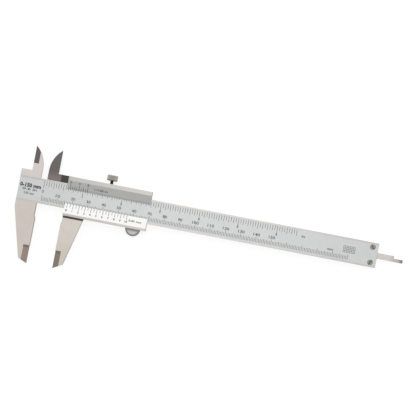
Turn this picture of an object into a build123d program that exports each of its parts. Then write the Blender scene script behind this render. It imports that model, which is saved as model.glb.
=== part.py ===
from build123d import *
import os

# Vernier caliper, 150 mm and 6 in, lying on its back with the scale face up.
# +X runs along the beam from the jaws to the depth rod, +Y towards the inside jaws and +Z out of the
# scale face.
# The row's origin is the centre of the bounding box, at z = 0, the plane that the caliper rests on.
# Sizes below are counted from the datum: x = 0 on the fixed jaw's measuring face,
# y = 0 on the beam's edge beside the outside jaws. All sizes are in millimetres.

# Opening of the jaws
opening = 17.1            # as modelled, at rest

# Beam
beam_end = 220.8          # the beam's far end, from the measuring face
beam_width = 16.0
beam_thickness = 3.5
jaw_heel = 14.0           # fixed jaw's back edge, behind the measuring face
guide_strip = 1.0         # ground strip along each long edge, proud of the scale
scale_recess = 0.1        # how far the scale lies below the guide strips
end_chamfer = 0.4

# Outside jaws
jaw_depth = 39.35         # from the beam's edge to the jaw tips
fixed_relief = 0.75       # set-back of the fixed jaw near the beam
moving_relief = 0.5       # set-back of the moving jaw and of the rail above it
relief_depth = 8.2        # where that set-back ends
relief_slant = 1.6
fixed_shoulder = 4.3      # where the fixed jaw's back edge starts to taper
fixed_tip_width = 5.55
fixed_tip_rake = 2.7      # the tips slope back by this much
moving_root_width = 13.95
moving_tip_width = 6.0
moving_tip_rake = 3.35
blade_length = 11.7       # thinned part at the tip of each outside jaw
blade_width = 3.7
blade_edge = 0.9          # thickness left at the measuring face there

# Inside jaws, which pass each other like scissors
inside_height = 20.3      # tip above the beam's upper edge
inside_edge = 7.4         # knife edge behind the measuring face, on both jaws when closed
inside_waist = 0.75       # near edge of the fixed inside jaw behind the measuring face
inside_block_height = 4.25
inside_arc_start = 6.1    # where the curved back of the fixed jaw leaves the straight
knife_length = 11.3
knife_step = 0.25         # the edge below the knife is set back by this much
knife_width = 3.6
knife_edge = 0.3
crossing_gap = 0.1        # between the two jaws where they pass
arm_gap = 0.1             # between the moving inside jaw and the beam

# Slider
slider_setback = 0.05     # slider's near end, from the moving measuring face
slider_length = 54.2
slider_rise = 4.9         # top of the slider, above the beam's upper edge
slider_bottom = 4.65      # below the beam's edge
slider_back = 1.6         # thickness of the wall behind the beam
slide_clearance = 0.05
rail_height = 2.4         # thickness of the front rails
vernier_edge = 0.15       # thickness left at the vernier's feather edge
metric_edge = 3.2         # feather edge of the metric vernier
metric_foot = -3.05       # where its slope starts
inch_reach = 3.4          # feather edge of the inch vernier, below the beam's upper edge
inch_slope_rise = 2.3     # where its slope starts, above the beam's upper edge
corner_break = 0.25       # chamfer along the slider's long outer edges
undercut_width = 1.35     # groove across the moving jaw, under the rail
undercut_depth = 0.3

# Gib and its set screws
gib_room = 1.0            # channel above the beam that holds the gib
gib_thickness = 0.8
gib_clearance = 0.02
gib_end_gap = 1.5
gib_side_gap = 0.25
set_screw_radius = 1.0
set_screw_inset = 8.35    # from each end of the slider
set_screw_sink = 0.3      # below the slider's upper face
set_screw_tip_radius = 0.5
set_screw_tip = 0.2       # how far the tip enters the gib
slot_width = 0.45
slot_depth = 0.55
fit = 0.02                # radial clearance of pins and screws in their holes

# Lock screw
lock_offset = 27.1        # from the slider's near end
stud_radius = 1.1
stud_clearance = 0.04
knob_radius = 3.4         # as much as clears the resting plane
knob_height = 3.7
knob_stand_off = 2.1      # neck seen between the slider and the knob
knob_chamfer = 0.35
stud_socket = 2.2         # how far the stud enters the knob
pad_thickness = 0.9
pad_radius = 0.95
lock_lash = 0.22          # between the pad and the gib when unlocked
stud_gap = 0.02

# Depth rod
rod_width = 3.8
rod_thickness = 1.5
rod_side_gap = 0.1
rod_face_gap = 0.1
rod_root = 22.0           # near end of the rod, from the slider's near end
rod_foot_length = 9.0
rod_nose_length = 5.95
rod_nose_width = 2.15
rod_pin_radius = 0.6
rod_pin_inset = 2.0
pin_sink = 0.1
groove_start = 20.0

# End plate and its screws
plate_length = 8.0
plate_side_gap = 0.2
end_screw_inset = 3.8     # from the beam's end
end_screw_pitch = 10.0
end_screw_radius = 1.0
end_screw_hole = 1.1
screw_head_radius = 1.7
screw_head_height = 0.9
screw_head_gap = 0.1
screw_head_sink = 0.05
end_screw_short = 0.3     # from the end plate's back face

# Thumb rest
thumb_radius = 4.95
thumb_offset = 46.05      # from the slider's near end
thumb_thickness = 3.5
thumb_chamfer = 0.5
tang_width = 6.0
tang_height = 2.8
tang_thickness = 2.5
thumb_pin_radius = 0.6
thumb_pin_height = 1.5    # above the slider's lower face
thumb_pin_end = 0.3       # from the pocket's front wall

# Levels above the resting plane
beam_back = slider_back + slide_clearance
beam_front = beam_back + beam_thickness
scale_face = beam_front - scale_recess
mid_plane = (beam_back + beam_front) / 2
slider_inner_face = beam_front + slide_clearance
slider_front = slider_inner_face + rail_height

# Places along the beam and across it
inside_tip = beam_width + inside_height
knife_foot = inside_tip - knife_length
slider_near = opening + slider_setback
slider_far = slider_near + slider_length
slider_top = beam_width + slider_rise
inch_edge = beam_width - inch_reach
inch_foot = beam_width + inch_slope_rise
channel_top = beam_width + gib_room
gib_bottom = beam_width + gib_clearance
gib_top = gib_bottom + gib_thickness
lock_x = slider_near + lock_offset
thumb_x = slider_near + thumb_offset
rod_near = slider_near + rod_root
rod_tip = beam_end + opening
rod_middle = beam_width / 2
rod_bottom = beam_back + rod_face_gap
groove_depth = rod_face_gap + rod_thickness + rod_face_gap
end_screw_x = beam_end - end_screw_inset
end_screw_ys = (rod_middle - end_screw_pitch / 2, rod_middle + end_screw_pitch / 2)
set_screw_xs = (slider_near + set_screw_inset, slider_far - set_screw_inset)
rod_pin_xs = (rod_near + rod_pin_inset, rod_near + rod_foot_length - rod_pin_inset)

# The datum in the row's frame, so that the row's origin is the bounding box's centre
datum_x = -(rod_tip - jaw_heel) / 2
datum_y = -(inside_tip - jaw_depth) / 2


def level(z):
    """Plane parallel to the scale face at height z, with its origin on the datum."""
    return Plane(origin=(datum_x, datum_y, z))


def across(x):
    """Plane square to the beam at x. Its local axes are +Y and +Z."""
    return Plane(origin=(datum_x + x, datum_y, 0), x_dir=(0, 1, 0), z_dir=(1, 0, 0))


def looking_down(x, y):
    """Plane square to Y at y, facing -Y, with its origin on x. Its local axes are +X and +Z."""
    return Plane(origin=(datum_x + x, datum_y + y, 0), x_dir=(1, 0, 0), z_dir=(0, -1, 0))


def block(x_low, x_high, y_low, y_high):
    """Rectangle in the sketch plane between those corners."""
    with Locations(((x_low + x_high) / 2, (y_low + y_high) / 2)):
        Rectangle(x_high - x_low, y_high - y_low)


def outline(*points):
    """Closed straight-sided face in the sketch plane."""
    Polygon(*points, align=None)


def thin_blade(edge_x, side, y_high, length, width, low, high, edge_low, edge_high):
    """Cuts wedges off both faces of a jaw, so that it thins towards the measuring edge at edge_x.
    side is 1 where the jaw's body lies at larger x, and -1 where it lies at smaller x."""
    body_x = side * width
    with BuildSketch(looking_down(edge_x, y_high)) as wedges:
        if edge_high < high:
            outline((body_x, high), (0, edge_high), (-side, edge_high), (-side, high + 1),
                    (body_x, high + 1))
        if edge_low > low:
            outline((body_x, low), (0, edge_low), (-side, edge_low), (-side, low - 1), (body_x, low - 1))
    extrude(wedges.sketch, amount=length, mode=Mode.SUBTRACT)


def round_hole(x, y_high, radius, depth):
    """Hole along -Y at the beam's mid plane."""
    with BuildSketch(looking_down(x, y_high)) as circle:
        with Locations((0, mid_plane)):
            Circle(radius)
    extrude(circle.sketch, amount=depth, mode=Mode.SUBTRACT)


def pin_hole(places, radius, bottom, depth):
    """Holes along +Z for pins of that radius, from height bottom."""
    with BuildSketch(level(bottom)) as circles:
        with Locations(places):
            Circle(radius + fit)
    extrude(circles.sketch, amount=depth, mode=Mode.SUBTRACT)


# Beam with the fixed outside and inside jaws, one piece of hardened steel
with BuildPart() as beam:
    with BuildSketch(level(beam_back)):
        block(-jaw_heel, beam_end, 0, beam_width)
        outline(
            (-jaw_heel, 1),
            (-jaw_heel, -fixed_shoulder),
            (-fixed_tip_width, fixed_tip_rake - jaw_depth),
            (0, -jaw_depth),
            (0, -relief_depth - relief_slant),
            (-fixed_relief, -relief_depth),
            (-fixed_relief, 1),
        )
    extrude(amount=beam_thickness)
    with BuildSketch(level(mid_plane + crossing_gap / 2)):
        with BuildLine():
            arc_foot = (-inside_waist, beam_width + inside_arc_start)
            TangentArc(arc_foot, (-inside_edge, inside_tip), tangent=(0, 1))
            Polyline(
                (-inside_edge, inside_tip),
                (-inside_edge, knife_foot),
                (knife_step - inside_edge, knife_foot - knife_step),
                (knife_step - inside_edge, beam_width + inside_block_height),
                (-jaw_heel, beam_width + inside_block_height),
                (-jaw_heel, beam_width - 1),
                (-inside_waist, beam_width - 1),
                arc_foot,
            )
        make_face()
    extrude(amount=beam_front - mid_plane - crossing_gap / 2)
    far_edges = beam.edges().filter_by(Axis.Y).group_by(Axis.X)[-1]
    chamfer(far_edges, end_chamfer)
    # Recessed scale between the guide strips
    with BuildSketch(level(beam_front)):
        block(-jaw_heel, beam_end, guide_strip, beam_width - guide_strip)
    extrude(amount=-scale_recess, mode=Mode.SUBTRACT)
    # Groove for the depth rod, open at the far end
    with BuildSketch(level(beam_back)):
        half = rod_width / 2 + rod_side_gap
        block(groove_start, beam_end, rod_middle - half, rod_middle + half)
    extrude(amount=groove_depth, mode=Mode.SUBTRACT)
    thin_blade(0, -1, blade_length - jaw_depth, blade_length + 1, blade_width, beam_back, beam_front,
               mid_plane - blade_edge / 2, mid_plane + blade_edge / 2)
    thin_blade(-inside_edge, 1, inside_tip + 1, knife_length + 1, knife_width, mid_plane, beam_front,
               mid_plane, mid_plane + crossing_gap / 2 + knife_edge)
    with Locations([(datum_x + end_screw_x, datum_y + y, scale_face) for y in end_screw_ys]):
        CounterBoreHole(end_screw_hole, screw_head_radius + screw_head_gap,
                        screw_head_height + screw_head_sink, beam_thickness)

# Slider with the moving jaws, one piece that wraps the beam
with BuildPart() as slider:
    with BuildSketch(across(slider_near)):
        outline(
            (-slider_bottom, corner_break),
            (corner_break - slider_bottom, 0),
            (slider_top - corner_break, 0),
            (slider_top, corner_break),
            (slider_top, slider_front - corner_break),
            (slider_top - corner_break, slider_front),
            (inch_foot, slider_front),
            (inch_edge, slider_inner_face + vernier_edge),
            (inch_edge, slider_inner_face),
            (channel_top, slider_inner_face),
            (channel_top, slider_back),
            (-slide_clearance, slider_back),
            (-slide_clearance, slider_inner_face),
            (metric_edge, slider_inner_face),
            (metric_edge, slider_inner_face + vernier_edge),
            (metric_foot, slider_front),
            (corner_break - slider_bottom, slider_front),
            (-slider_bottom, slider_front - corner_break),
        )
    extrude(amount=slider_length)
    # The lower rail starts behind the upper one
    with BuildSketch(level(0)):
        block(slider_near, opening + moving_relief, -slider_bottom, metric_edge)
    extrude(amount=slider_front, mode=Mode.SUBTRACT)
    # Moving outside jaw, as thick as the beam
    with BuildSketch(level(beam_back)):
        outline(
            (opening + moving_relief, -slider_bottom + 1),
            (opening + moving_relief, -relief_depth),
            (opening, -relief_depth - relief_slant),
            (opening, -jaw_depth),
            (opening + moving_tip_width, moving_tip_rake - jaw_depth),
            (opening + moving_root_width, -slider_bottom + 1),
        )
    extrude(amount=beam_thickness)
    # Moving inside jaw, in the back half of the beam's thickness
    with BuildSketch(level(beam_back)):
        with BuildLine():
            jaw_back = opening - 2 * inside_edge + inside_waist
            arc_foot = (jaw_back, beam_width + inside_arc_start)
            TangentArc(arc_foot, (opening - inside_edge, inside_tip), tangent=(0, 1))
            Polyline(
                (opening - inside_edge, inside_tip),
                (opening - inside_edge, knife_foot),
                (opening - inside_edge - knife_step, knife_foot - knife_step),
                (opening - inside_edge - knife_step, slider_top),
                (slider_near + 1, slider_top),
                (slider_near + 1, beam_width + arm_gap + gib_room),
                (slider_near, beam_width + arm_gap),
                (jaw_back, beam_width + arm_gap),
                arc_foot,
            )
        make_face()
    extrude(amount=mid_plane - crossing_gap / 2 - beam_back)
    # Undercut across the moving jaw, under the rail
    with BuildSketch(level(beam_front)):
        block(opening, opening + moving_root_width + 1, -slider_bottom - undercut_width, -slider_bottom)
    extrude(amount=-undercut_depth, mode=Mode.SUBTRACT)
    thin_blade(opening, 1, blade_length - jaw_depth, blade_length + 1, blade_width, beam_back, beam_front,
               mid_plane - blade_edge / 2, mid_plane + blade_edge / 2)
    thin_blade(opening - inside_edge, -1, inside_tip + 1, knife_length + 1, knife_width, beam_back,
               mid_plane, mid_plane - crossing_gap / 2 - knife_edge, mid_plane)
    # Threaded holes of the set screws and the lock screw
    for x in set_screw_xs:
        round_hole(x, slider_top, set_screw_radius + fit, slider_top - channel_top)
    round_hole(lock_x, slider_top, stud_radius + stud_clearance, slider_top - channel_top)
    # Pocket for the thumb rest's tang, and the pins' holes
    with BuildSketch(looking_down(thumb_x, tang_height + fit - slider_bottom)):
        with Locations((0, mid_plane)):
            Rectangle(tang_width + 2 * fit, tang_thickness + 2 * fit)
    extrude(amount=tang_height + fit, mode=Mode.SUBTRACT)
    pin_hole([(thumb_x, thumb_pin_height - slider_bottom)], thumb_pin_radius, 0, mid_plane)
    pin_hole([(x, rod_middle) for x in rod_pin_xs], rod_pin_radius, 0, slider_back)

# Gib: a bronze strip between the slider and the beam's upper edge
with BuildPart() as gib_strip:
    with BuildSketch(level(beam_back + gib_side_gap)):
        block(slider_near + gib_end_gap, slider_far - gib_end_gap, gib_bottom, gib_top)
    extrude(amount=beam_thickness - 2 * gib_side_gap)
    for x in set_screw_xs:
        round_hole(x, gib_top, set_screw_tip_radius + fit, set_screw_tip + fit)


def set_screw(x):
    """Slotted grub screw that sets the gib, with a narrow tip that keeps the gib in place."""
    top = slider_top - set_screw_sink
    with BuildPart() as screw:
        with BuildSketch(looking_down(x, top)):
            with Locations((0, mid_plane)):
                Circle(set_screw_radius)
        extrude(amount=top - gib_top - fit)
        with BuildSketch(looking_down(x, top)):
            with Locations((0, mid_plane)):
                Circle(set_screw_tip_radius)
        extrude(amount=top - gib_top + set_screw_tip)
        with BuildSketch(looking_down(x, top)):
            with Locations((0, mid_plane)):
                Rectangle(3 * set_screw_radius, slot_width, rotation=35)
        extrude(amount=slot_depth, mode=Mode.SUBTRACT)
    return screw


gib_screw_near = set_screw(set_screw_xs[0])
gib_screw_far = set_screw(set_screw_xs[1])

# Lock screw: a knurled knob pressed on a threaded stud, which bears on a brass pad
pad_bottom = gib_top + lock_lash
pad_top = pad_bottom + pad_thickness
knob_bottom = slider_top + knob_stand_off
knob_top = knob_bottom + knob_height
stud_top = knob_bottom + stud_socket

with BuildPart() as lock_pad:
    with BuildSketch(looking_down(lock_x, pad_top)):
        with Locations((0, mid_plane)):
            Circle(pad_radius)
    extrude(amount=pad_thickness)

with BuildPart() as lock_stud:
    with BuildSketch(looking_down(lock_x, stud_top)):
        with Locations((0, mid_plane)):
            Circle(stud_radius)
    extrude(amount=stud_top - pad_top - stud_gap)

with BuildPart() as lock_knob:
    with BuildSketch(looking_down(lock_x, knob_top)):
        with Locations((0, mid_plane)):
            Circle(knob_radius)
    extrude(amount=knob_height)
    chamfer(lock_knob.edges().filter_by(GeomType.CIRCLE), knob_chamfer)
    with BuildSketch(looking_down(lock_x, stud_top)):
        with Locations((0, mid_plane)):
            Circle(stud_radius + fit)
    extrude(amount=stud_socket, mode=Mode.SUBTRACT)

# Depth rod: its foot is pinned to the slider's back wall, and its nose is stepped
with BuildPart() as depth_rod:
    rod_low = rod_middle - rod_width / 2
    with BuildSketch(level(rod_bottom)):
        block(rod_near, rod_tip - rod_nose_length, rod_low, rod_low + rod_width)
        block(rod_tip - rod_nose_length, rod_tip, rod_low, rod_low + rod_nose_width)
    extrude(amount=rod_thickness)
    with BuildSketch(level(slider_back)):
        block(rod_near, rod_near + rod_foot_length, rod_low, rod_low + rod_width)
    extrude(amount=rod_bottom - slider_back)
    pin_hole([(x, rod_middle) for x in rod_pin_xs], rod_pin_radius, slider_back, rod_thickness)


def dowel(x, y, radius, bottom, top):
    """Plain pin along Z."""
    with BuildPart() as pin:
        with BuildSketch(level(bottom)):
            with Locations((x, y)):
                Circle(radius)
        extrude(amount=top - bottom)
    return pin


rod_pin_top = slider_back + rod_thickness - fit
depth_rod_pin_near = dowel(rod_pin_xs[0], rod_middle, rod_pin_radius, pin_sink, rod_pin_top)
depth_rod_pin_far = dowel(rod_pin_xs[1], rod_middle, rod_pin_radius, pin_sink, rod_pin_top)

# End plate: guides the depth rod and stops the slider
with BuildPart() as end_plate:
    with BuildSketch(level(0)):
        block(beam_end - plate_length, beam_end - end_chamfer,
              plate_side_gap, beam_width - plate_side_gap)
        with Locations([(end_screw_x, y) for y in end_screw_ys]):
            Circle(end_screw_radius + fit, mode=Mode.SUBTRACT)
    extrude(amount=beam_back)


def end_screw(y, turn):
    """Slotted cheese-head screw, sunk in the beam's scale face and threaded into the end plate."""
    top = scale_face - screw_head_sink
    with BuildPart() as screw:
        with BuildSketch(level(top - screw_head_height)):
            with Locations((end_screw_x, y)):
                Circle(screw_head_radius)
        extrude(amount=screw_head_height)
        with BuildSketch(level(end_screw_short)):
            with Locations((end_screw_x, y)):
                Circle(end_screw_radius)
        extrude(amount=top - screw_head_height - end_screw_short)
        with BuildSketch(level(top)):
            with Locations((end_screw_x, y)):
                Rectangle(3 * screw_head_radius, slot_width, rotation=turn)
        extrude(amount=-slot_depth, mode=Mode.SUBTRACT)
    return screw


end_screw_lower = end_screw(end_screw_ys[0], 60)
end_screw_upper = end_screw(end_screw_ys[1], -50)

# Thumb rest: half a knurled disc whose tang is pinned into the slider's lower rail
with BuildPart() as thumb_rest:
    with BuildSketch(level(mid_plane - thumb_thickness / 2)):
        with Locations((thumb_x, -slider_bottom)):
            Circle(thumb_radius)
        block(thumb_x - thumb_radius, thumb_x + thumb_radius, -slider_bottom, thumb_radius)
    extrude(amount=thumb_thickness)
    split(bisect_by=looking_down(thumb_x, -slider_bottom), keep=Keep.TOP)
    chamfer(thumb_rest.edges().filter_by(GeomType.CIRCLE), thumb_chamfer)
    with BuildSketch(level(mid_plane - tang_thickness / 2)):
        block(thumb_x - tang_width / 2, thumb_x + tang_width / 2,
              -slider_bottom, tang_height - slider_bottom)
    extrude(amount=tang_thickness)
    pin_hole([(thumb_x, thumb_pin_height - slider_bottom)], thumb_pin_radius, 0, mid_plane)

thumb_rest_pin = dowel(thumb_x, thumb_pin_height - slider_bottom, thumb_pin_radius, pin_sink,
                       mid_plane - thumb_pin_end)

pieces = {
    "beam": beam,
    "end_plate": end_plate,
    "end_screw_lower": end_screw_lower,
    "end_screw_upper": end_screw_upper,
    "slider": slider,
    "gib_strip": gib_strip,
    "gib_screw_near": gib_screw_near,
    "gib_screw_far": gib_screw_far,
    "depth_rod": depth_rod,
    "depth_rod_pin_near": depth_rod_pin_near,
    "depth_rod_pin_far": depth_rod_pin_far,
    "thumb_rest": thumb_rest,
    "thumb_rest_pin": thumb_rest_pin,
    "lock_pad": lock_pad,
    "lock_stud": lock_stud,
    "lock_knob": lock_knob,
}

os.makedirs("parts", exist_ok=True)
for name, piece in pieces.items():
    piece.part.label = name
    export_step(piece.part, f"parts/{name}.step")
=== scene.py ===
import math

import bmesh
import bpy
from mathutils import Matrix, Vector


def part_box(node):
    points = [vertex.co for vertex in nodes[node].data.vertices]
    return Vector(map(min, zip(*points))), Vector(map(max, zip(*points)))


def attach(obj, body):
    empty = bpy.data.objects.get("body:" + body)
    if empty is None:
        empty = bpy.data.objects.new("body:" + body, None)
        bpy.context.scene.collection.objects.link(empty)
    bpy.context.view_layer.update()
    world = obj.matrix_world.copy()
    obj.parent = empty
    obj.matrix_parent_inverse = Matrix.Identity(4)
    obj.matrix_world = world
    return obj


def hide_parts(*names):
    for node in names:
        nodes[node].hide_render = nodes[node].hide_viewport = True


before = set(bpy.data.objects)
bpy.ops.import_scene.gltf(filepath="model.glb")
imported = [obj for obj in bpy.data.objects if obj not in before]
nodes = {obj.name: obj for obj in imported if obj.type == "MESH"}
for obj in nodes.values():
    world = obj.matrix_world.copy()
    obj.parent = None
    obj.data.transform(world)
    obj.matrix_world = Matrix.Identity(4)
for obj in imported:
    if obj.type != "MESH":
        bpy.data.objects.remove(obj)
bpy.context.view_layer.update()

MM = 0.001

# ---------------------------------------------------------------- places, in mm
# x = 0 on the fixed outside jaw's measuring face, y = 0 on the beam's edge beside the outside jaws and z = 0 on
# the resting plane
JAW_HEEL, JAW_DEPTH = 14.0, 39.35                      # from there to the beam's lowest x and y
beam_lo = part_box("beam")[0]
DATUM = Vector((beam_lo.x + JAW_HEEL * MM, beam_lo.y + JAW_DEPTH * MM, 0.0))
BEAM_END = 220.8
INSIDE_EDGE = 7.4                                      # inside jaws' edge, behind the measuring face
INSIDE_WAIST = 0.75
# the slider's lowest x is the moving inside jaw's back, which mirrors the fixed jaw's waist
OPENING = (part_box("slider")[0].x - DATUM.x) / MM + 2 * INSIDE_EDGE - INSIDE_WAIST
SCALE_Z = 5.05                                         # recessed scale face of the beam
MID_Z = 3.4                                            # middle of the beam's thickness
NEAR = OPENING + 0.05                                  # near end of the slider's body
BOTTOM = -4.65                                         # the slider's lower face
EDGE_Z, FRONT_Z = 5.35, 7.6                            # feather edge and front of the vernier slopes
METRIC_EDGE, METRIC_FOOT = 3.2, -3.05
INCH_EDGE, INCH_FOOT = 12.6, 18.3
ROD_END = OPENING + BEAM_END
# the thinned tips of the outside jaws, as seen from the front
TIP_TOP, TIP_WIDTH, TIP_Z = -27.8, 3.7, 3.5
TIP_SHADOW_BAND = (-29.2, -27.6)                              # painted shadow: the darker band where the thinning runs out, under its step
VERNIER_Z = 5.3                                        # just below the vernier slopes


def at(x, y, z):
    return DATUM + Vector((x, y, z)) * MM


def node_mm(node):
    """A node's lowest and highest corners, in mm from the datum."""
    return [[(c - d) / MM for c, d in zip(corner, DATUM)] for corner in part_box(node)]


# ---------------------------------------------------------------- node-tree helpers
def new_material(name):
    m = bpy.data.materials.new(name)
    m.use_nodes = True
    t = m.node_tree
    t.nodes.clear()
    out = t.nodes.new("ShaderNodeOutputMaterial")
    bsdf = t.nodes.new("ShaderNodeBsdfPrincipled")
    t.links.new(bsdf.outputs[0], out.inputs[0])
    return m, t, bsdf


def feed(t, socket, value):
    """Sets a socket to a number or a colour, or links another node's output to it."""
    if isinstance(value, (int, float)):
        socket.default_value = value
    elif isinstance(value, tuple):
        socket.default_value = (*value, 1.0)
    else:
        t.links.new(value, socket)


def math_node(t, op, a, b=None):
    n = t.nodes.new("ShaderNodeMath")
    n.operation = op
    for socket, value in zip(n.inputs, (a, b)):
        if value is not None:
            feed(t, socket, value)
    return n.outputs[0]


def place_mm(t):
    """Object coordinates in mm from the datum."""
    tc = t.nodes.new("ShaderNodeTexCoord")
    sub = t.nodes.new("ShaderNodeVectorMath")
    sub.operation = "SUBTRACT"
    t.links.new(tc.outputs["Object"], sub.inputs[0])
    sub.inputs[1].default_value = DATUM
    mul = t.nodes.new("ShaderNodeVectorMath")
    mul.operation = "SCALE"
    t.links.new(sub.outputs[0], mul.inputs[0])
    mul.inputs["Scale"].default_value = 1 / MM
    return mul.outputs[0]


def split(t, vec):
    n = t.nodes.new("ShaderNodeSeparateXYZ")
    t.links.new(vec, n.inputs[0])
    return n.outputs


def map_range(t, value, start, end, low, high, smooth=False):
    """Turns start..end into low..high, and holds it there beyond."""
    n = t.nodes.new("ShaderNodeMapRange")
    if smooth:
        n.interpolation_type = "SMOOTHSTEP"
    t.links.new(value, n.inputs["Value"])
    for socket, number in (("From Min", start), ("From Max", end), ("To Min", low), ("To Max", high)):
        n.inputs[socket].default_value = number
    return n.outputs[0]


def step(t, value, edge, soft, rising=True):
    """0 below edge and 1 above it, over a soft width; or the other way round."""
    low, high = (0.0, 1.0) if rising else (1.0, 0.0)
    return map_range(t, value, edge - soft / 2, edge + soft / 2, low, high, smooth=True)


def spread(t, value, low, high):
    """Turns noise about 0.5 into low..high."""
    return map_range(t, value, 0.3, 0.7, low, high)


def zone(t, xyzr, x=None, y=None, z=None, r=None, soft=0.08):
    """1 inside the limits in mm, 0 outside."""
    got = None
    for value, limits in zip(xyzr, (x, y, z, r)):
        if limits is None:
            continue
        for edge, rising in zip(limits, (True, False)):
            if edge is None:
                continue
            s = step(t, value, edge, soft, rising)
            got = s if got is None else math_node(t, "MULTIPLY", got, s)
    return got


def mix(t, kind, blend, sockets, values):
    n = t.nodes.new("ShaderNodeMix")
    n.data_type = kind
    if kind == "RGBA":
        n.blend_type = blend
    for socket, value in zip(sockets, values):
        feed(t, n.inputs[socket], value)
    return n.outputs[2 if kind == "RGBA" else 0]


def mix_colour(t, factor, a, b, blend="MIX"):
    return mix(t, "RGBA", blend, (0, 6, 7), (factor, a, b))


def mix_value(t, factor, a, b):
    return mix(t, "FLOAT", None, (0, 2, 3), (factor, a, b))


def shaded(t, colour, shade):
    """The colour, multiplied by a grey that varies over the surface."""
    grey = t.nodes.new("ShaderNodeCombineXYZ")
    for socket in grey.inputs:
        t.links.new(shade, socket)
    return mix_colour(t, 1.0, colour, grey.outputs[0], "MULTIPLY")


def noise(t, vec, scale, detail, rough, seed, stretch=(1, 1, 1)):
    mp = t.nodes.new("ShaderNodeMapping")
    t.links.new(vec, mp.inputs["Vector"])
    mp.inputs["Scale"].default_value = stretch
    mp.inputs["Location"].default_value = (seed, seed * 0.7, seed * 1.3)
    n = t.nodes.new("ShaderNodeTexNoise")
    t.links.new(mp.outputs[0], n.inputs["Vector"])
    n.inputs["Scale"].default_value = scale
    n.inputs["Detail"].default_value = detail
    n.inputs["Roughness"].default_value = rough
    return n.outputs["Fac"]


def axis_distance(t, xyz, centre):
    """Distance in mm from an axis along Z at centre."""
    flat = t.nodes.new("ShaderNodeCombineXYZ")
    t.links.new(xyz[0], flat.inputs[0])
    t.links.new(xyz[1], flat.inputs[1])
    off = t.nodes.new("ShaderNodeVectorMath")
    off.operation = "DISTANCE"
    t.links.new(flat.outputs[0], off.inputs[0])
    off.inputs[1].default_value = (*centre, 0)
    return off.outputs["Value"]


# How the grinding marks are stretched, for each direction of grain
STRETCHES = {"x": (0.06, 3.2, 3.2), "y": (3.2, 0.06, 3.2), "fine": (4.5, 4.5, 4.5)}
UPRIGHT_PAINTED_SHADE = 0.86                                   # painted shade: faces that stand upright are darkened in colour
GRAZING_TINT = (0.52, 0.51, 0.50, 1)
GRAIN_DEPTH, GRAIN_STRENGTH = 0.000006, 0.5
GRAIN_GLOSS = 0.05                                     # how much the grain varies the roughness


def steel(name, colour, zones=(), roughness=0.34, grain="x", streak=0.05, mottle=0.03, seed=0.0, centre=None):
    """Ground steel, with its grinding marks along grain. zones are (limits in mm, colour, roughness, grain), each
    laid over those before it. Limits may give r, the distance from an axis along Z at centre."""
    m, t, bsdf = new_material(name)
    p = place_mm(t)
    xyz = split(t, p)
    radius = axis_distance(t, xyz, centre) if centre else None

    def grain_lines(direction, offset):
        return noise(t, p, 1.6, 4.0, 0.62, seed + offset, STRETCHES[direction])

    line_v = grain_lines(grain, 3.1)
    blotch = noise(t, p, 0.16, 3.0, 0.5, seed + 11.7)
    col, rough_v = colour, roughness
    for limits, z_colour, z_rough, z_grain in zones:
        mask = zone(t, (*xyz, radius), **limits)
        col = mix_colour(t, mask, col, z_colour)
        rough_v = mix_value(t, mask, rough_v, z_rough)
        if z_grain != grain:
            line_v = mix_value(t, mask, line_v, grain_lines(z_grain, 5.3))
    shade = math_node(t, "MULTIPLY", spread(t, line_v, 1 - streak, 1 + streak),
                      spread(t, blotch, 1 - mottle, 1 + mottle))
    normal = t.nodes.new("ShaderNodeNewGeometry").outputs["Normal"]
    facing = math_node(t, "ABSOLUTE", split(t, normal)[2])
    # painted shade: faces that stand upright are darkened in colour
    shade = math_node(t, "MULTIPLY", shade, mix_value(t, step(t, facing, 0.5, 0.3), UPRIGHT_PAINTED_SHADE, 1.0))
    t.links.new(shaded(t, col, shade), bsdf.inputs["Base Color"])
    wobble = spread(t, line_v, -GRAIN_GLOSS, GRAIN_GLOSS)
    t.links.new(math_node(t, "ADD", wobble, rough_v), bsdf.inputs["Roughness"])
    bsdf.inputs["Metallic"].default_value = 1.0
    bsdf.inputs["Specular Tint"].default_value = GRAZING_TINT
    relief = t.nodes.new("ShaderNodeBump")
    relief.inputs["Strength"].default_value = GRAIN_STRENGTH
    relief.inputs["Distance"].default_value = GRAIN_DEPTH
    t.links.new(line_v, relief.inputs["Height"])
    t.links.new(relief.outputs[0], bsdf.inputs["Normal"])
    return m


def dress(material, *names):
    for name in names:
        slots = nodes[name].data.materials
        slots.clear()
        slots.append(material)


# ---------------------------------------------------------------- colours and roughnesses
SATIN = (0.636, 0.645, 0.643)
GROUND = (0.645, 0.590, 0.540)
JAW = (0.655, 0.607, 0.560)
JAW_LOW = (0.635, 0.568, 0.505)
HEAD = (0.672, 0.622, 0.595)
STRIP = (0.588, 0.558, 0.533)
STRIP_LINE = (0.42, 0.40, 0.39)
RAIL = (0.550, 0.526, 0.503)
METRIC_SLOPE_LIT = (0.82, 0.812, 0.808)
INCH_SLOPE = (0.655, 0.655, 0.640)
INCH_EDGE_SHADOW = (0.54, 0.55, 0.545)
DARK_BROWN, SHADOW_BROWN = (0.325, 0.258, 0.227), (0.215, 0.170, 0.150)
DARK_OLIVE, SHADOW_OLIVE = (0.262, 0.227, 0.189), (0.205, 0.178, 0.148)
DARK_GREY = (0.155, 0.141, 0.132)
DARK_ARM = (0.225, 0.193, 0.184)
ARM_WALL_SHADE = (0.068, 0.068, 0.063)
GROOVE_SHADOW = (0.110, 0.090, 0.082)
ROD, ROD_NOSE, ROD_TIP_SHADE = (0.665, 0.617, 0.585), (0.52, 0.48, 0.45), (0.26, 0.25, 0.24)
SCREW, SCREW_SLOT_SHADE = (0.31, 0.304, 0.287), (0.035, 0.034, 0.032)
PIN = (0.45, 0.44, 0.42)
BRONZE, BRASS = (0.50, 0.30, 0.13), (0.62, 0.44, 0.18)
KNURL, KNURL_UNDER_SHADOW = (0.425, 0.392, 0.355), (0.20, 0.185, 0.165)
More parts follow.
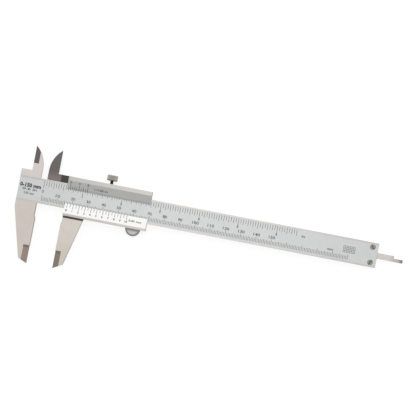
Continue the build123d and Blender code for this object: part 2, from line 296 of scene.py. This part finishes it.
THUMB, THUMB_RAIL_SHADOW, THUMB_RIM_SHADE = (0.50, 0.472, 0.455), (0.27, 0.245, 0.232), (0.26, 0.255, 0.25)
STUD = (0.085, 0.080, 0.073)
POLISHED, BRIGHT, MILLED, BROWNED, ETCHED = 0.30, 0.34, 0.36, 0.38, 0.42

beam_steel = steel("beam_steel", GROUND, (
    # the head above the scale, the long edges and the ground guide strips
    (dict(y=(15.9, None), soft=0.3), HEAD, BRIGHT, "x"),
    (dict(y=(-0.2, 16.1), soft=0.3), STRIP, POLISHED, "x"),
    (dict(x=(None, -0.5), y=(14.8, 15.15), soft=0.1), STRIP_LINE, 0.40, "x"),
    # satin chromed scale
    (dict(y=(1.0, 15.0), z=(4.9, 5.10), soft=0.04), SATIN, ETCHED, "fine"),
    # knife reliefs
    (dict(x=(-TIP_WIDTH, None), y=(None, TIP_TOP), z=(TIP_Z, None)), DARK_BROWN, MILLED, "y"),
    # painted shadow under the step at the top of the knife relief
    (dict(x=(-TIP_WIDTH, None), y=TIP_SHADOW_BAND, z=(TIP_Z, None), soft=0.7), SHADOW_BROWN, MILLED, "y"),
    (dict(x=(None, -3.8), y=(25.0, None), z=(None, 5.13), soft=0.05), DARK_GREY, MILLED, "y"),
), roughness=MILLED, grain="y", mottle=0.02, seed=1.0)
dress(beam_steel, "beam")

slider_steel = steel("slider_steel", JAW, (
    (dict(y=(None, -24), soft=14.0), JAW_LOW, MILLED, "y"),
    (dict(y=(BOTTOM + 0.1, METRIC_FOOT), z=(7.0, None)), RAIL, POLISHED, "x"),
    # painted light: the metric vernier slope faces the light and is painted brighter than the inch slope's chrome
    (dict(y=(METRIC_FOOT, METRIC_EDGE + 1), z=(VERNIER_Z, None)), METRIC_SLOPE_LIT, ETCHED, "fine"),
    (dict(y=(INCH_EDGE - 1, INCH_FOOT), z=(VERNIER_Z, None)), INCH_SLOPE, ETCHED, "fine"),
    # painted shadow along the inch slope's feather edge
    (dict(y=(INCH_EDGE - 1, INCH_EDGE + 1.0), z=(VERNIER_Z, None), soft=0.6), INCH_EDGE_SHADOW, ETCHED, "fine"),
    (dict(y=(INCH_FOOT, None), z=(VERNIER_Z, None)), RAIL, POLISHED, "x"),
    # the moving inside jaw
    (dict(x=(None, NEAR), y=(15.0, None)), DARK_ARM, BROWNED, "y"),
    (dict(x=(None, NEAR), y=(20.0, None), soft=6.0), DARK_GREY, BROWNED, "y"),
    # painted shade on the moving inside jaw, beside the slider's end wall
    (dict(x=(OPENING - 5.45, NEAR), y=(15.0, None), soft=0.9), ARM_WALL_SHADE, BRIGHT, "y"),
    # painted shadow in the groove under the rail
    (dict(y=(BOTTOM - 1.4, BOTTOM - 0.02), z=(None, 5.0)), GROOVE_SHADOW, 0.5, "x"),
    # knife relief of the moving outside jaw
    (dict(x=(None, OPENING + TIP_WIDTH), y=(None, TIP_TOP), z=(TIP_Z, None)), DARK_OLIVE, MILLED, "y"),
    # painted shadow under the step at the top of the knife relief
    (dict(x=(None, OPENING + TIP_WIDTH), y=TIP_SHADOW_BAND, z=(TIP_Z, None), soft=0.7), SHADOW_OLIVE, MILLED, "y"),
), roughness=MILLED, grain="y", mottle=0.02, seed=2.0)
dress(slider_steel, "slider")

dress(steel("plate_steel", GROUND, grain="y", seed=3.0), "end_plate")
dress(steel("rod_steel", ROD, (
    (dict(x=(ROD_END - 7.0, None), soft=5.0), ROD_NOSE, BRIGHT, "x"),
    # painted shade on the depth rod's bevelled end
    (dict(x=(ROD_END - 2.2, None), soft=3.0), ROD_TIP_SHADE, 0.4, "x")), grain="x", seed=4.0), "depth_rod")
dress(steel("screw_steel", SCREW, (
    # painted shade down in the end screws' slots
    (dict(x=(190.0, None), z=(None, 4.8)), SCREW_SLOT_SHADE, 0.5, "fine"),), grain="fine", streak=0.12,
    roughness=MILLED, seed=5.0), "end_screw_lower", "end_screw_upper", "gib_screw_near", "gib_screw_far")
dress(steel("pin_steel", PIN, grain="fine", seed=6.0), "depth_rod_pin_near", "depth_rod_pin_far", "thumb_rest_pin")
dress(steel("gib_bronze", BRONZE, grain="x", streak=0.08, seed=7.0), "gib_strip")
dress(steel("pad_brass", BRASS, grain="fine", seed=8.0), "lock_pad")

knob_lo, knob_hi = node_mm("lock_knob")
knurl_steel = steel("knurled_steel", KNURL, (
    # painted shadow on the underside of the knob
    (dict(y=(None, knob_lo[1] + 0.55), soft=0.5), KNURL_UNDER_SHADOW, 0.40, "fine"),), grain="fine", streak=0.08,
    roughness=MILLED, seed=9.0)
thumb_lo, thumb_hi = node_mm("thumb_rest")
THUMB_X, THUMB_R = (thumb_lo[0] + thumb_hi[0]) / 2, (thumb_hi[0] - thumb_lo[0]) / 2
thumb_steel = steel("thumb_steel", THUMB, (
    # painted shadow under the slider's rail, across the top of the thumb rest
    (dict(y=(BOTTOM - 1.5, None), soft=1.6), THUMB_RAIL_SHADOW, MILLED, "x"),
    # painted shade in the serrated rim
    (dict(r=(THUMB_R - 1.3, None), soft=0.3), THUMB_RIM_SHADE, ETCHED, "fine")), grain="x", streak=0.08,
    roughness=MILLED, seed=12.0, centre=(THUMB_X, BOTTOM))
stud_steel = steel("stud_steel", STUD, grain="fine", streak=0.1, seed=10.0)


def paint(name, colour):
    """Paint in engraved lines: a little uneven, as it lies in them."""
    m, t, bsdf = new_material(name)
    p = place_mm(t)
    uneven = spread(t, noise(t, p, 1.3, 3.0, 0.6, 4.0), 0.75, 1.35)
    t.links.new(shaded(t, colour, uneven), bsdf.inputs["Base Color"])
    t.links.new(spread(t, noise(t, p, 2.0, 2.0, 0.5, 9.0), 0.47, 0.63), bsdf.inputs["Roughness"])
    return m


ink = paint("scale_ink", (0.06, 0.065, 0.068))
ink_worn = paint("worn_ink", (0.12, 0.125, 0.13))
ink_black = paint("black_ink", (0.018, 0.018, 0.018))


# ---------------------------------------------------------------- meshes
def new_object(name, data):
    ob = bpy.data.objects.new(name, data)
    bpy.context.scene.collection.objects.link(ob)
    return ob


def mesh_object(name, verts, faces, material, body):
    me = bpy.data.meshes.new(name)
    me.from_pydata([tuple(v) for v in verts], [], faces)
    me.validate()
    me.update()
    bm = bmesh.new()
    bm.from_mesh(me)
    bmesh.ops.recalc_face_normals(bm, faces=bm.faces)
    bm.to_mesh(me)
    bm.free()
    ob = new_object(name, me)
    me.materials.append(material)
    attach(ob, body)
    return ob


def slab_faces(i):
    """Faces of a closed slab, whose lower corners are verts i to i + 3 and upper ones i + 4 to i + 7."""
    sides = [(i + k, i + (k + 1) % 4, i + 4 + (k + 1) % 4, i + 4 + k) for k in range(4)]
    return [(i, i + 3, i + 2, i + 1), (i + 4, i + 5, i + 6, i + 7)] + sides


def row_faces(rows, n, closed=True):
    """Faces between rows of n verts each, which go all the way round if closed."""
    return [(j * n + k, j * n + (k + 1) % n, (j + 1) * n + (k + 1) % n, (j + 1) * n + k)
            for j in range(rows - 1) for k in range(n if closed else n - 1)]


def end_faces(rows, n):
    """The faces that close the first row and the last."""
    return [tuple(range(n)), tuple((rows - 1) * n + k for k in range(n))]


class Face:
    """A flat face to mark: a point on it, its two directions and its outward normal, in mm."""

    def __init__(self, origin, right, up):
        self.o, self.r, self.u = Vector(origin), Vector(right).normalized(), Vector(up).normalized()
        self.n = self.r.cross(self.u)

    def point(self, a, b, h):
        p = self.o + self.r * a + self.u * b + self.n * h
        return at(p.x, p.y, p.z)


INK_LOW, INK_HIGH = -0.03, 0.012
CAPITAL = 0.72                                         # height of a number, as a share of the font's size


def lines(face, rects, name, material, body):
    """Engraved lines, as thin closed slabs that lie in the face. rects are (a0, a1, b0, b1) in mm."""
    verts, faces = [], []
    for a0, a1, b0, b1 in rects:
        faces += slab_faces(len(verts))
        for h in (INK_LOW, INK_HIGH):
            verts += [face.point(a, b, h) for a, b in ((a0, b0), (a1, b0), (a1, b1), (a0, b1))]
    return mesh_object(name, verts, faces, material, body)


def words(face, items, name, material, body):
    """Numbers and words as flat closed letters. items are (text, a, b, height, weight) in mm, and may end with
    the width to fill."""
    verts, faces = [], []
    for text, a, b, height, weight, *width in items:
        cu = bpy.data.curves.new(name + "_text", "FONT")
        cu.body = text
        cu.size = height / CAPITAL
        cu.align_x, cu.align_y = "CENTER", "CENTER"
        cu.extrude = (INK_HIGH - INK_LOW) / 2
        cu.offset = weight
        cu.resolution_u = 3
        ob = new_object(name + "_text", cu)
        me = bpy.data.meshes.new_from_object(ob.evaluated_get(bpy.context.evaluated_depsgraph_get()))
        i = len(verts)
        xs = [v.co.x for v in me.vertices]
        mid = (min(xs) + max(xs)) / 2
        wide = width[0] / (max(xs) - min(xs)) if width else 1.0
        for v in me.vertices:
            verts.append(face.point(a + (v.co.x - mid) * wide, b + v.co.y, (INK_LOW + INK_HIGH) / 2 + v.co.z))
        faces += [tuple(i + k for k in f.vertices) for f in me.polygons]
        bpy.data.objects.remove(ob)
        bpy.data.curves.remove(cu)
        bpy.data.meshes.remove(me)
    return mesh_object(name, verts, faces, material, body)


def ticks(zero, pitch, count, width, span):
    """Lines at an even pitch. span(i) gives where line i starts and ends across the scale."""
    return [(zero + i * pitch - width / 2, zero + i * pitch + width / 2, *span(i)) for i in range(count)]


def reach(i, lengths):
    """How far line i reaches: lengths are (every, length), and the first that divides i counts."""
    return next(length for every, length in lengths if i % every == 0)


# ---------------------------------------------------------------- scales on the beam
beam_face = Face((0, 0, SCALE_Z), (1, 0, 0), (0, 1, 0))
ZERO = 2.1
INCH = 25.4
LINE = 0.25

METRIC_REACH = ((10, 5.4), (5, 4.8), (1, 4.35))
metric = ticks(ZERO, 1, 201, LINE, lambda i: (1.85, reach(i, METRIC_REACH)))
lines(beam_face, metric, "metric_scale", ink, "beam")

INCH_REACH = ((16, 10.2), (8, 10.7), (4, 11.0), (2, 11.3), (1, 11.9))
inch = ticks(ZERO, INCH / 16, 105, LINE, lambda i: (reach(i, INCH_REACH), 14.8))
lines(beam_face, inch, "inch_scale", ink, "beam")

words(beam_face, [(str(i * 10), ZERO + i * 10, 6.7, 1.85, 0.045, 2.75 if i < 10 else 4.2) for i in range(1, 16)]
      + [("0", ZERO, 8.0, 2.0, 0.02)], "metric_numbers", ink, "beam")
words(beam_face, [(str(i), ZERO + i * INCH, 9.35, 1.6, 0.07) for i in range(1, 7)]
      + [("in", 171.85, 11.1, 1.5, 0.05, 2.2), ("mm", 190.35, 6.5, 1.5, 0.05, 3.8)],
      "inch_numbers", ink, "beam")

# what the range of the tool is, at the jaws
words(beam_face, [("0-150 mm", -6.3, 10.2, 2.4, 0.16, 13.7)], "range_large", ink_black, "beam")
words(beam_face, [("0-6 in", -6.55, 7.8, 1.7, 0.07, 9.4), ("0.05 mm", -6.6, 5.2, 1.5, 0.05, 6.5)],
      "range_small", ink_worn, "beam")

# plain crossed lines near the far end
HATCH_X, HATCH_Y = (198.4, 206.2), (6.4, 10.7)
hatch = [(HATCH_X[0] + k * 1.09, HATCH_X[0] + 0.2 + k * 1.09, *HATCH_Y) for k in range(8)]
hatch += [(*HATCH_X, HATCH_Y[0] + k * 1.03, HATCH_Y[0] + 0.18 + k * 1.03) for k in range(5)]
lines(beam_face, hatch, "hatch", ink, "beam")

# ---------------------------------------------------------------- verniers on the slider
VERNIER_ZERO = OPENING + ZERO
METRIC_RUN, INCH_RUN, RISE = METRIC_EDGE - METRIC_FOOT, INCH_FOOT - INCH_EDGE, FRONT_Z - EDGE_Z
metric_face = Face((0, METRIC_EDGE, EDGE_Z), (1, 0, 0), (0, METRIC_RUN, -RISE))
slope = math.hypot(METRIC_RUN, RISE) / METRIC_RUN      # length along the slope for 1 mm across the beam
VERNIER_REACH = ((2, -2.9), (1, -2.0))
vernier = ticks(VERNIER_ZERO, 1.95, 21, 0.28, lambda i: (reach(i, VERNIER_REACH) * slope, -0.05))
lines(metric_face, vernier, "metric_vernier", ink, "slider")
words(metric_face, [(str(i), VERNIER_ZERO + i * 3.9, -4.25 * slope, 1.4, 0.06) for i in range(11)]
      + [("0.05 mm", OPENING + 46.8, -3.1 * slope, 1.35, 0.05, 8.3)], "metric_vernier_numbers", ink, "slider")

inch_face = Face((0, INCH_EDGE, EDGE_Z), (1, 0, 0), (0, INCH_RUN, RISE))
slope = math.hypot(INCH_RUN, RISE) / INCH_RUN
VERNIER_REACH = ((4, 3.5), (2, 2.6), (1, 1.8))
vernier = ticks(VERNIER_ZERO, INCH * 7 / 16 / 8, 9, LINE, lambda i: (0.05, reach(i, VERNIER_REACH) * slope))
lines(inch_face, vernier, "inch_vernier", ink_black, "slider")
words(inch_face, [(str(i * 4), VERNIER_ZERO + i * INCH * 7 / 32, 4.5 * slope, 1.5, 0.03) for i in range(3)]
      + [("1/128 in", OPENING + 21.75, 2.7 * slope, 1.4, 0.02, 8.5)], "inch_vernier_numbers", ink_black, "slider")

# ---------------------------------------------------------------- knurled and threaded pieces
PER_RIB = 6                                            # points to each rib or serration


def rib(k):
    """How deep point k lies between two ribs, from 0 to 1."""
    return 1 - abs(2 * (k % PER_RIB) / PER_RIB - 1)


def knurled(name, centre, profile, ribs, rib_depth, material, body):
    """Turned piece about an axis along +Y, with straight ribs. profile is [(y, radius, share of the rib depth)]
    in mm."""
    n = ribs * PER_RIB
    verts = []
    for y, r, share in profile:
        for k in range(n):
            a = 2 * math.pi * k / n
            rr = r - rib_depth * share * rib(k) ** 1.5
            verts.append(at(centre[0] + rr * math.cos(a), y, centre[1] + rr * math.sin(a)))
    rows = len(profile)
    return mesh_object(name, verts, row_faces(rows, n) + end_faces(rows, n), material, body)


KNOB_R = (knob_hi[2] - knob_lo[2]) / 2
knob_end = [(0, KNOB_R - 0.75, 0), (0.02, KNOB_R - 0.5, 0), (0.12, KNOB_R - 0.4, 0), (0.42, KNOB_R - 0.02, 0.9),
            (0.5, KNOB_R, 1)]
knob_profile = [(knob_lo[1] + y, r, share) for y, r, share in knob_end]
knob_profile += [(knob_hi[1] - y, r, share) for y, r, share in reversed(knob_end)]
knob = knurled("lock_knob_knurled", ((knob_lo[0] + knob_hi[0]) / 2, (knob_lo[2] + knob_hi[2]) / 2), knob_profile,
               40, 0.17, knurl_steel, "lock_screw")
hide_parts("lock_knob")


def threaded(name, node, pitch, depth, material, body):
    """Stud along Y with a helical thread, inside its CAD cylinder."""
    (x0, y0, z0), (x1, y1, z1) = node_mm(node)
    cx, cz, r = (x0 + x1) / 2, (z0 + z1) / 2, (z1 - z0) / 2
    n, rows = 28, int((y1 - y0) / pitch * 8)
    verts = []
    for j in range(rows + 1):
        y = y0 + (y1 - y0) * j / rows
        for k in range(n):
            turn = (y / pitch - k / n) % 1.0
            cut = 1.0 if j in (0, rows) else min(1.0, abs(2 * turn - 1) * 1.25)
            rr = r - depth * cut
            a = 2 * math.pi * k / n
            verts.append(at(cx + rr * math.cos(a), y, cz + rr * math.sin(a)))
    ob = mesh_object(name, verts, row_faces(rows + 1, n) + end_faces(rows + 1, n), material, body)
    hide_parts(node)
    return ob


stud = threaded("lock_stud_threaded", "lock_stud", 0.4, 0.2, stud_steel, "lock_screw")

SERRATIONS, SERRATION_DEPTH = 20, 0.3
TANG_WIDTH, TANG_HEIGHT, TANG_THICKNESS = 6.0, 2.8, 2.5


def thumb(name, node, material, body):
    """Half disc with a serrated rim, and the tang above it."""
    z0, z1 = thumb_lo[2], thumb_hi[2]
    n = SERRATIONS * PER_RIB
    rim = [(0, THUMB_R - 0.55, 0), (0.06, THUMB_R - 0.48, 0), (0.42, THUMB_R - 0.1, 0.8), (0.5, THUMB_R, 1)]
    rings = [(z0 + z, r, share) for z, r, share in rim] + [(z1 - z, r, share) for z, r, share in reversed(rim)]
    verts = []
    for z, r, share in rings:
        for k in range(n + 1):
            a = -math.pi * k / n
            q = r - SERRATION_DEPTH * share * (rib(k) if 0 < k < n else 0)
            verts.append(at(THUMB_X + q * math.cos(a), BOTTOM + q * math.sin(a), z))
    m, rows = n + 1, len(rings)
    flat = tuple([j * m for j in range(rows)] + [j * m + n for j in reversed(range(rows))])
    faces = row_faces(rows, m, closed=False) + [flat] + end_faces(rows, m)
    # tang, in the slider's pocket
    faces += slab_faces(len(verts))
    left, right = THUMB_X - TANG_WIDTH / 2, THUMB_X + TANG_WIDTH / 2
    for z in (MID_Z - TANG_THICKNESS / 2, MID_Z + TANG_THICKNESS / 2):
        for x, y in ((left, 0), (right, 0), (right, TANG_HEIGHT), (left, TANG_HEIGHT)):
            verts.append(at(x, BOTTOM + y, z))
    ob = mesh_object(name, verts, faces, material, body)
    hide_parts(node)
    return ob


rest_piece = thumb("thumb_rest_serrated", "thumb_rest", thumb_steel, "slider")

# ---------------------------------------------------------------- floor, light and camera
FLOOR_HALF, FLOOR_Z = 3, -0.00002
floor_me = bpy.data.meshes.new("floor")
floor_me.from_pydata([(x * FLOOR_HALF, y * FLOOR_HALF, FLOOR_Z) for x, y in ((-1, -1), (1, -1), (1, 1), (-1, 1))],
                     [], [(0, 1, 2, 3)])
floor = new_object("floor", floor_me)
floor_mat, _, fb = new_material("floor_white")
fb.inputs["Base Color"].default_value = (0.22, 0.22, 0.22, 1)
fb.inputs["Roughness"].default_value = 0.9
fb.inputs["Emission Color"].default_value = (1, 1, 1, 1)
fb.inputs["Emission Strength"].default_value = 0.82
floor_me.materials.append(floor_mat)

world = bpy.data.worlds.new("studio")
bpy.context.scene.world = world
world.use_nodes = True
wt = world.node_tree
wt.nodes.clear()
w_out = wt.nodes.new("ShaderNodeOutputWorld")
w_bg = wt.nodes.new("ShaderNodeBackground")
wt.links.new(w_bg.outputs[0], w_out.inputs[0])
# brighter towards +Y, darker towards -Y
w_y = split(wt, wt.nodes.new("ShaderNodeTexCoord").outputs["Generated"])[1]
wt.links.new(map_range(wt, w_y, -1, 1, 0.43, 1.40), w_bg.inputs["Strength"])
w_bg.inputs["Color"].default_value = (1, 1, 1, 1)

# a soft box overhead
box_data = bpy.data.lights.new("soft_box", "AREA")
box_data.shape = "DISK"
box_data.size = 0.34
box_data.energy = 0.14
box = new_object("soft_box", box_data)
box.location = at(108, 12, 720)

cam_data = bpy.data.cameras.new("camera")
cam = new_object("camera", cam_data)
cam_data.sensor_width = 36
cam_data.lens = 74.06
cam.location = at(108.7456, 13.6541, 560)
cam.rotation_euler = (0.0049, -0.0027, 0.1906)
cam_data.clip_start, cam_data.clip_end = 0.01, 20
bpy.context.scene.camera = cam

bpy.context.scene.view_settings.view_transform = "Standard"
bpy.context.scene.view_settings.look = "None"
